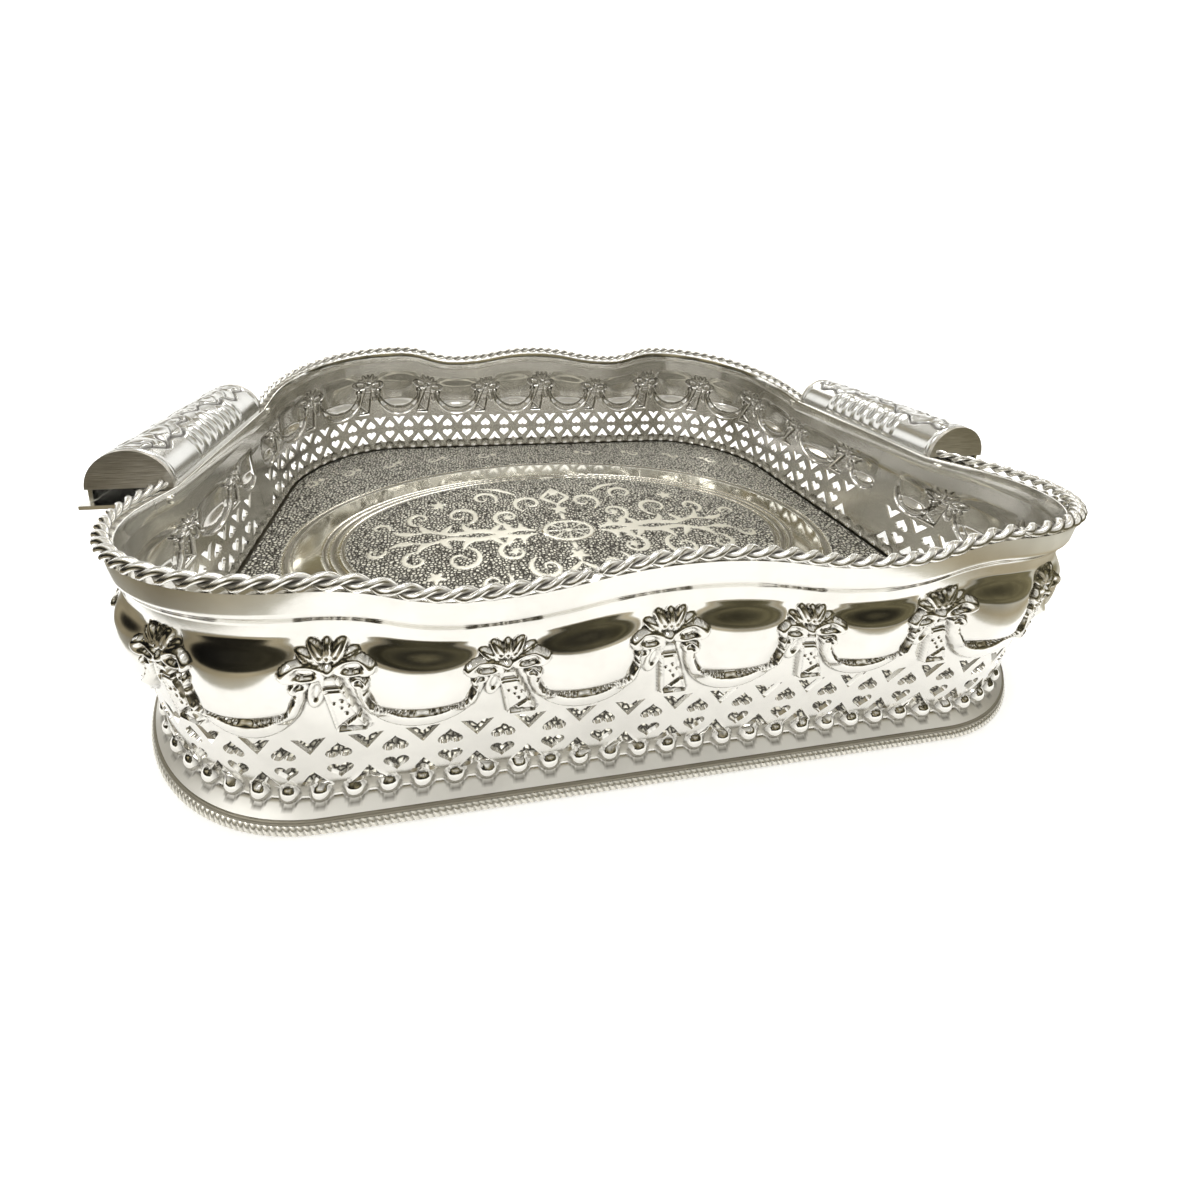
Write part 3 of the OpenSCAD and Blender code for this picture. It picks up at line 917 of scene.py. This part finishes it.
# %% Wheel, lines and matted ground
def chased_floor():
    x, y = floor_x, floor_y
    medal = np.hypot(x / MEDAL_X, y / MEDAL_Y)
    path = np.hypot(x / PATH_X, y / PATH_Y)
    hub = np.hypot(x / HUB_X, y / HUB_Y)
    line = np.zeros(x.shape)
    for oval, at, size in ((medal, 1.0, 0.8), (medal, 1.035, 0.6), (medal, 0.965, 0.5), (path, 1.0, 0.8)):
        line = np.maximum(line, ridge((oval - at) * 60, size, 0.35))
    spokes = np.abs(np.sin(4 * np.arctan2(y / HUB_Y, x / HUB_X)))
    wheel = np.where(hub < 1, np.where((hub > 0.84) | (spokes < 0.32) | (hub < 0.16), 0.3, -0.1), 0)
    height = np.maximum(leaf, wheel * (hub < 1)) - line * (leaf < 0.05)
    matted = ((medal < 0.955) | (path > 1.02)) & (leaf < 0.02) & (hub > 1.06)
    matted |= (hub < 0.84) & (wheel < 0)
    top = floor_high[2]
    z = top - 0.1 + height * 0.8 - 0.12 * matted
    rows, cols = x.shape
    upper = np.stack([x, y, z], -1).reshape(-1, 3)
    edge_index = np.concatenate([np.arange(cols), np.arange(1, rows) * cols + cols - 1,
                                 (rows - 1) * cols + np.arange(cols - 2, -1, -1),
                                 np.arange(rows - 2, 0, -1) * cols])
    skirt = upper[edge_index] * (1, 1, 0) + (0, 0, floor_low[2])
    base = len(upper)
    i, j = [a.ravel() for a in np.meshgrid(np.arange(rows - 1), np.arange(cols - 1), indexing="ij")]
    quads = np.stack([i * cols + j, i * cols + j + 1, (i + 1) * cols + j + 1, (i + 1) * cols + j], -1)
    n = len(edge_index)
    k = np.arange(n)
    walls = np.stack([edge_index[(k + 1) % n], edge_index[k], base + k, base + (k + 1) % n], -1)
    places = np.concatenate([upper, skirt])
    faces = quads.tolist() + walls.tolist() + [list(range(base + n - 1, base - 1, -1))]
    piece = make_piece("chased_floor", places, faces, ["floor_plate"], floor_silver, crease=40)
    raised = np.clip(np.maximum(leaf, wheel) * 9, 0, 1)
    # Painted shade: the chased lines get a darker colour through the stored hollow value
    for name, values in (("hollow", np.clip(line * 2.4, 0, 1)), ("matted", matted), ("leaf", raised)):
        store(piece, name, np.concatenate([values.ravel(), np.zeros(n)]))


# %% Floor material
def matted_silver():
    """Silver with a pebbled ground wherever the mesh says it is matted, and satin leaves."""
    finish = Finish("floor_silver")
    colour, gloss, surface = polished(finish, (0.86, 0.84, 0.75), (0.24, 0.22, 0.18), 0.06, dents=0.10)
    pebbles = finish.add("ShaderNodeTexVoronoi", feature="DISTANCE_TO_EDGE", Scale=620.0, Randomness=0.85)
    finish.link(finish.place, pebbles.inputs["Vector"])
    dome = finish.stretched(pebbles.outputs["Distance"], 0.0, 1.0, 0.0, 0.30,
                            interpolation_type="SMOOTHSTEP")
    matted = finish.stored("matted")
    gap = finish.maths("MULTIPLY", finish.maths("SUBTRACT", 1.0, dome), matted)
    colour = finish.blend(gap, colour, (0.05, 0.046, 0.04))
    worked = finish.maths("MAXIMUM", matted, finish.stored("leaf"))
    gloss = finish.maths("MULTIPLY_ADD", worked, 0.34, gloss)
    surface = finish.bump(finish.maths("MULTIPLY", dome, matted), 0.9, 0.0007, surface)
    return finish.done(colour, gloss, surface)


floor_silver = matted_silver()
chased_floor()

# %% [markdown]
# ## The handles
# Each handle is a sheet roll, stamped with leaves on its top and short reeds towards the tray, and closed
# by flat brushed ends. The roll is a grid bent into a half tube, so the stamping can be written on the flat
# grid in two directions: along the handle and round it.

# %% Stamping of a roll
ROLL_R = (roll_high[0] - roll_low[0]) / 2
ROLL_OUT = roll_high[0] - HALF_LENGTH - ROLL_R
ROLL_HALF = roll_high[1]
LEG = HANDLE_Z - roll_low[2]


def roll_stamping(u, a):
    """Height at u along the roll and a in degrees round it: 0 is the outer side, 180 the tray's side."""
    arc = np.radians(a) * ROLL_R
    inner = math.pi * ROLL_R - arc
    edge = 17.0 + 3.6 * np.cos(u / ROLL_HALF * math.pi * 1.5) + 1.6 * np.sin(u * 0.55)
    leafy = smooth((inner - edge) / 0.9) * smooth((arc - 3.0) / 1.2) * smooth(ROLL_HALF - 1.5 - np.abs(u))
    line = ridge(inner - edge, 0.7, 0.55) * (np.abs(u) < ROLL_HALF - 2)
    flow = np.sin(0.42 * u + 1.9 * np.sin(0.33 * arc + 0.5)) + 0.7 * np.sin(0.75 * arc - 0.25 * u)
    vein = np.exp(-((flow / 0.16) ** 2))
    swirl = np.sin(0.9 * np.hypot(((u + 10) % 20) - 10, arc - 18))
    h = leafy * (0.5 - 0.55 * vein + 0.25 * swirl)
    within = np.abs(u) < 21
    cell = (u + 21) % 6 - 3
    tall = 13.2 + 1.6 * np.cos(u * 0.3)
    tip = np.where(inner > tall, np.hypot(cell, inner - tall), np.abs(cell))
    reed = ridge(tip, 2.8, 0.9) * smooth((inner - 1.0) / 1.5)
    tear = ridge(np.hypot(cell / 0.8, (inner - 8.5) / 3.2), 1, 0.55)
    h = h + np.where(within & (inner < edge), reed - tear, 0) - line
    hem = ridge(np.abs(u) - (ROLL_HALF - 0.9), 0.9, 0.5)
    # The second value is painted shade: darker in the veins, along the groove and in the tear-shaped dips
    return h + hem, np.clip(leafy * vein + line * 1.5 + np.where(within, tear, 0), 0, 1)


def roll(name, node, sign):
    gap = 0.42
    u = np.linspace(-ROLL_HALF, ROLL_HALF, round(2 * ROLL_HALF / gap))
    a = np.linspace(180, 0, round(math.pi * ROLL_R / gap))
    uu, aa = np.meshgrid(u, a, indexing="ij")
    h, dark = roll_stamping(uu, aa)
    h = h * smooth((180 - aa) / 6)
    out = ROLL_OUT + (ROLL_R + h - 0.3) * np.cos(np.radians(aa))
    z = HANDLE_Z + 0.05 + (ROLL_R + h - 0.3) * np.sin(np.radians(aa))
    leg = np.linspace(0, LEG - 0.1, 5)[1:]
    out = np.concatenate([out, np.tile(out[:, -1:], (1, 4))], 1)
    z = np.concatenate([z, z[:, -1:] - leg[None, :]], 1)
    inner_out = ROLL_OUT + (out - ROLL_OUT) * (1 - SHEET / ROLL_R)
    inner_z = np.where(z > HANDLE_Z, HANDLE_Z + (z - HANDLE_Z) * (1 - SHEET / ROLL_R), z)
    profile_out = np.concatenate([out, inner_out[:, ::-1]], 1)
    profile_z = np.concatenate([z, inner_z[:, ::-1]], 1)
    around = profile_out.shape[1]
    lengths = np.repeat(u[:, None], around, 1)
    places = np.stack([sign * (HALF_LENGTH + profile_out), sign * lengths, profile_z], -1).reshape(-1, 3)
    near_end = [[j, j + 1, around - 2 - j, around - 1 - j] for j in range(around // 2 - 1)]
    far_end = [[(len(u) - 1) * around + corner for corner in face[::-1]] for face in near_end]
    faces = [f[::-1] for f in sweep_faces(len(u), around)] + near_end + far_end
    piece = make_piece(name, places, faces, [node], roll_silver)
    store(piece, "hollow", np.concatenate([dark, np.zeros((len(u), around - dark.shape[1]))], 1))


roll("roll_right", "handle_roll_right", 1)
roll("roll_left", "handle_roll_left", -1)


# %% [markdown]
# ## Plain pieces from the CAD model
# The plates, end plates and rivets are flat or turned shapes that the CAD model already has right. They
# keep their meshes and only take a finish. The ends were left as they came from the emery stick, so their
# scratches all run one way. Stretching a noise in one direction gives that.

# %% Finish for the plain pieces
def brushed_silver():
    finish = Finish("end_silver")
    squeeze = finish.add("ShaderNodeMapping", Scale=(160, 160, 2600))
    finish.link(finish.place, squeeze.inputs["Vector"])
    scratches = finish.noise(squeeze.outputs["Vector"], 1.0, 4.0)
    colour = finish.blend(scratches, (0.36, 0.34, 0.30), (0.80, 0.77, 0.70))
    return finish.done(colour, finish.stretched(scratches, 0.30, 0.50), finish.bump(scratches, 0.5, 0.0002))


end_silver = brushed_silver()
plain_finishes = {"handle_end": end_silver, "handle_plate": plate_silver, "handle_rivets": band_silver}
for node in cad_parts:
    for start, finish in plain_finishes.items():
        if node.startswith(start):
            part = bpy.data.objects[node]
            part.data.materials.clear()
            part.data.materials.append(finish)
            print("finished", node)

# %% [markdown]
# ## Floor, light and camera
# Silver shows its surroundings, so the surroundings are made first. The tray stands in a wide white dish
# that curves up all round: the outer wall then shows white, as it would on a white table. Around it stands
# a room that only the silver sees, as two curved screens. From the table up they run from tan to black,
# olive, tan and a bright ceiling, and that gives the swelling fields and the bows their dark edges. Soft
# lights hang overhead.

# %% White dish
def stage_piece(name, places, faces, material):
    """A smooth piece of the surroundings."""
    mesh = bpy.data.meshes.new(name)
    mesh.from_pydata(places, [], faces)
    mesh.shade_smooth()
    mesh.materials.append(material)
    piece = bpy.data.objects.new(name, mesh)
    bpy.context.scene.collection.objects.link(piece)
    return piece


def turned(profile, angles):
    """Places of a profile of radius and height, turned about the middle."""
    return [(r * math.cos(a), r * math.sin(a), z) for r, z, *_ in profile for a in angles]


def white_dish():
    radius, flat, high = 1.7, 0.9, 1.0
    profile = [(0.0, 0.0), (flat, 0.0)]
    for k in range(1, 13):
        a = math.radians(90 * k / 12)
        profile.append((flat + (radius - flat) * math.sin(a), high * (1 - math.cos(a))))
    around = 96
    places = turned(profile, np.linspace(0, 2 * math.pi, around, endpoint=False))
    finish = Finish("table_white", metal=0.0)
    finish.shader.inputs["Base Color"].default_value = (0.86, 0.86, 0.86, 1)
    finish.shader.inputs["Roughness"].default_value = 0.9
    finish.shader.inputs["Emission Color"].default_value = (1, 1, 1, 1)
    finish.shader.inputs["Emission Strength"].default_value = 0.42
    faces = [f[::-1] for f in sweep_faces(len(profile), around)]
    stage_piece("white_dish", places, faces, finish.material)


white_dish()
print("white dish made")


# %% The room beyond the table
def room_screen(name, middle, spread, profile):
    """A screen that only silver sees: a list of radius, height, left tone and right tone."""
    finish = Finish(name, metal=0.0)
    finish.shader.inputs["Base Color"].default_value = (0, 0, 0, 1)
    finish.shader.inputs["Specular IOR Level"].default_value = 0.0
    finish.shader.inputs["Emission Strength"].default_value = 1.0
    blotches = finish.stretched(finish.noise(finish.place, 4.0, 3.0), 0.35, 1.5, 0.35, 0.65)
    tone = finish.add("ShaderNodeVectorMath", operation="SCALE")
    finish.link(finish.stored("tone", "Color"), tone.inputs[0])
    finish.link(blotches, tone.inputs["Scale"])
    finish.link(tone.outputs["Vector"], finish.shader.inputs["Emission Color"])
    angles = np.radians(np.linspace(middle - spread, middle + spread, 60))
    faces = sweep_faces(len(profile), len(angles), closed_ring=False)
    screen = stage_piece(name, turned(profile, angles), faces, finish.material)
    share = smooth(np.linspace(-0.3, 1.3, len(angles)))[:, None]
    shades = np.concatenate([(1 - share) * np.array(p[2]) + share * np.array(p[-1]) for p in profile])
    shades = np.concatenate([shades, np.ones((len(shades), 1))], 1)
    tones = screen.data.color_attributes.new("tone", "FLOAT_COLOR", "POINT")
    tones.data.foreach_set("color", shades.astype(np.float32).ravel())
    screen.visible_camera = False
    screen.visible_diffuse = False
    screen.visible_shadow = False
    print(name, "made of", len(profile), "bands of tone")


TAN = (0.42, 0.36, 0.24)
OLIVE = (0.17, 0.15, 0.085)
BLACK = (0.006, 0.006, 0.006)
PALE = (0.62, 0.60, 0.52)
BRIGHT = (0.92, 0.91, 0.87)
ON_TABLE = 0.004
room_screen("room_front", -90, 105, [
    (0.21, ON_TABLE, PALE), (0.235, ON_TABLE, TAN), (0.28, ON_TABLE, TAN, PALE),
    (0.31, ON_TABLE, BLACK, OLIVE), (0.92, ON_TABLE, BLACK, OLIVE), (0.94, 0.14, BLACK), (0.95, 0.24, OLIVE),
    (0.95, 0.36, TAN), (0.95, 0.48, PALE), (0.95, 0.62, BRIGHT), (0.92, 1.50, BRIGHT)])
room_screen("room_back", 90, 60, [(0.95, 0.55, OLIVE), (0.95, 0.80, TAN), (0.95, 1.10, PALE)])


# %% Lights and world
def soft_light(name, place, aim, size, power):
    light = bpy.data.lights.new(name, "AREA")
    light.shape = "RECTANGLE"
    light.size, light.size_y = size
    light.energy = power
    lamp = bpy.data.objects.new(name, light)
    lamp.location = place
    lamp.rotation_euler = (Vector(aim) - Vector(place)).to_track_quat("-Z", "Y").to_euler()
    bpy.context.scene.collection.objects.link(lamp)


soft_light("overhead", (0.1, 0.15, 1.9), (0, 0, 0), (0.9, 0.9), 16)
soft_light("window_left", (-0.75, -0.45, 0.95), (0, 0, 0.05), (0.25, 0.5), 2.5)
soft_light("back_strip", (0.15, 0.9, 0.85), (0, 0, 0.05), (0.9, 0.16), 2.5)

world = bpy.data.worlds.new("room")
bpy.context.scene.world = world
world.use_nodes = True
room = Nodes(world.node_tree)
height = room.add("ShaderNodeSeparateXYZ")
room.link(room.add("ShaderNodeTexCoord").outputs["Generated"], height.inputs["Vector"])
ramp = room.add("ShaderNodeValToRGB")
for place, colour in ((0.45, (0.10, 0.09, 0.055)), (0.70, (0.50, 0.48, 0.42)), (0.95, (0.60, 0.58, 0.52))):
    ramp.color_ramp.elements.new(place).color = (*colour, 1)
ramp.color_ramp.elements[0].color = (0.12, 0.11, 0.08, 1)
room.link(height.outputs["Z"], ramp.inputs["Fac"])
background = world.node_tree.nodes["Background"]
room.link(ramp.outputs["Color"], background.inputs["Color"])
background.inputs["Strength"].default_value = 1.0
print("three soft lights and a dim room")


# %% Tones and camera
# Plain tones keep the white table white and the silver's contrast strong
bpy.context.scene.view_settings.view_transform = "Standard"
bpy.context.scene.view_settings.look = "None"


def look(yaw, pitch, roll_angle):
    """Camera axes for a heading, a downward pitch and a roll, all in degrees."""
    yaw, pitch, roll_angle = [math.radians(a) for a in (yaw, pitch, roll_angle)]
    forward = Vector((math.sin(yaw) * math.cos(pitch), math.cos(yaw) * math.cos(pitch), -math.sin(pitch)))
    right = Vector((math.cos(yaw), -math.sin(yaw), 0))
    up = right.cross(forward)
    side = math.cos(roll_angle) * right + math.sin(roll_angle) * up
    top = -math.sin(roll_angle) * right + math.cos(roll_angle) * up
    return Matrix((side, top, -forward)).transposed()


lens = bpy.data.cameras.new("camera")
lens.sensor_width = 36
lens.lens = 14.7
lens.shift_x = 0.06
lens.shift_y = -0.199
lens.clip_start = 0.01
camera = bpy.data.objects.new("camera", lens)
place = Matrix.Translation(Vector((-59.74, -211.7, 139.59)) * MM)
camera.matrix_world = place @ look(9.73, 12.58, 2.08).to_4x4()
bpy.context.scene.collection.objects.link(camera)
bpy.context.scene.camera = camera
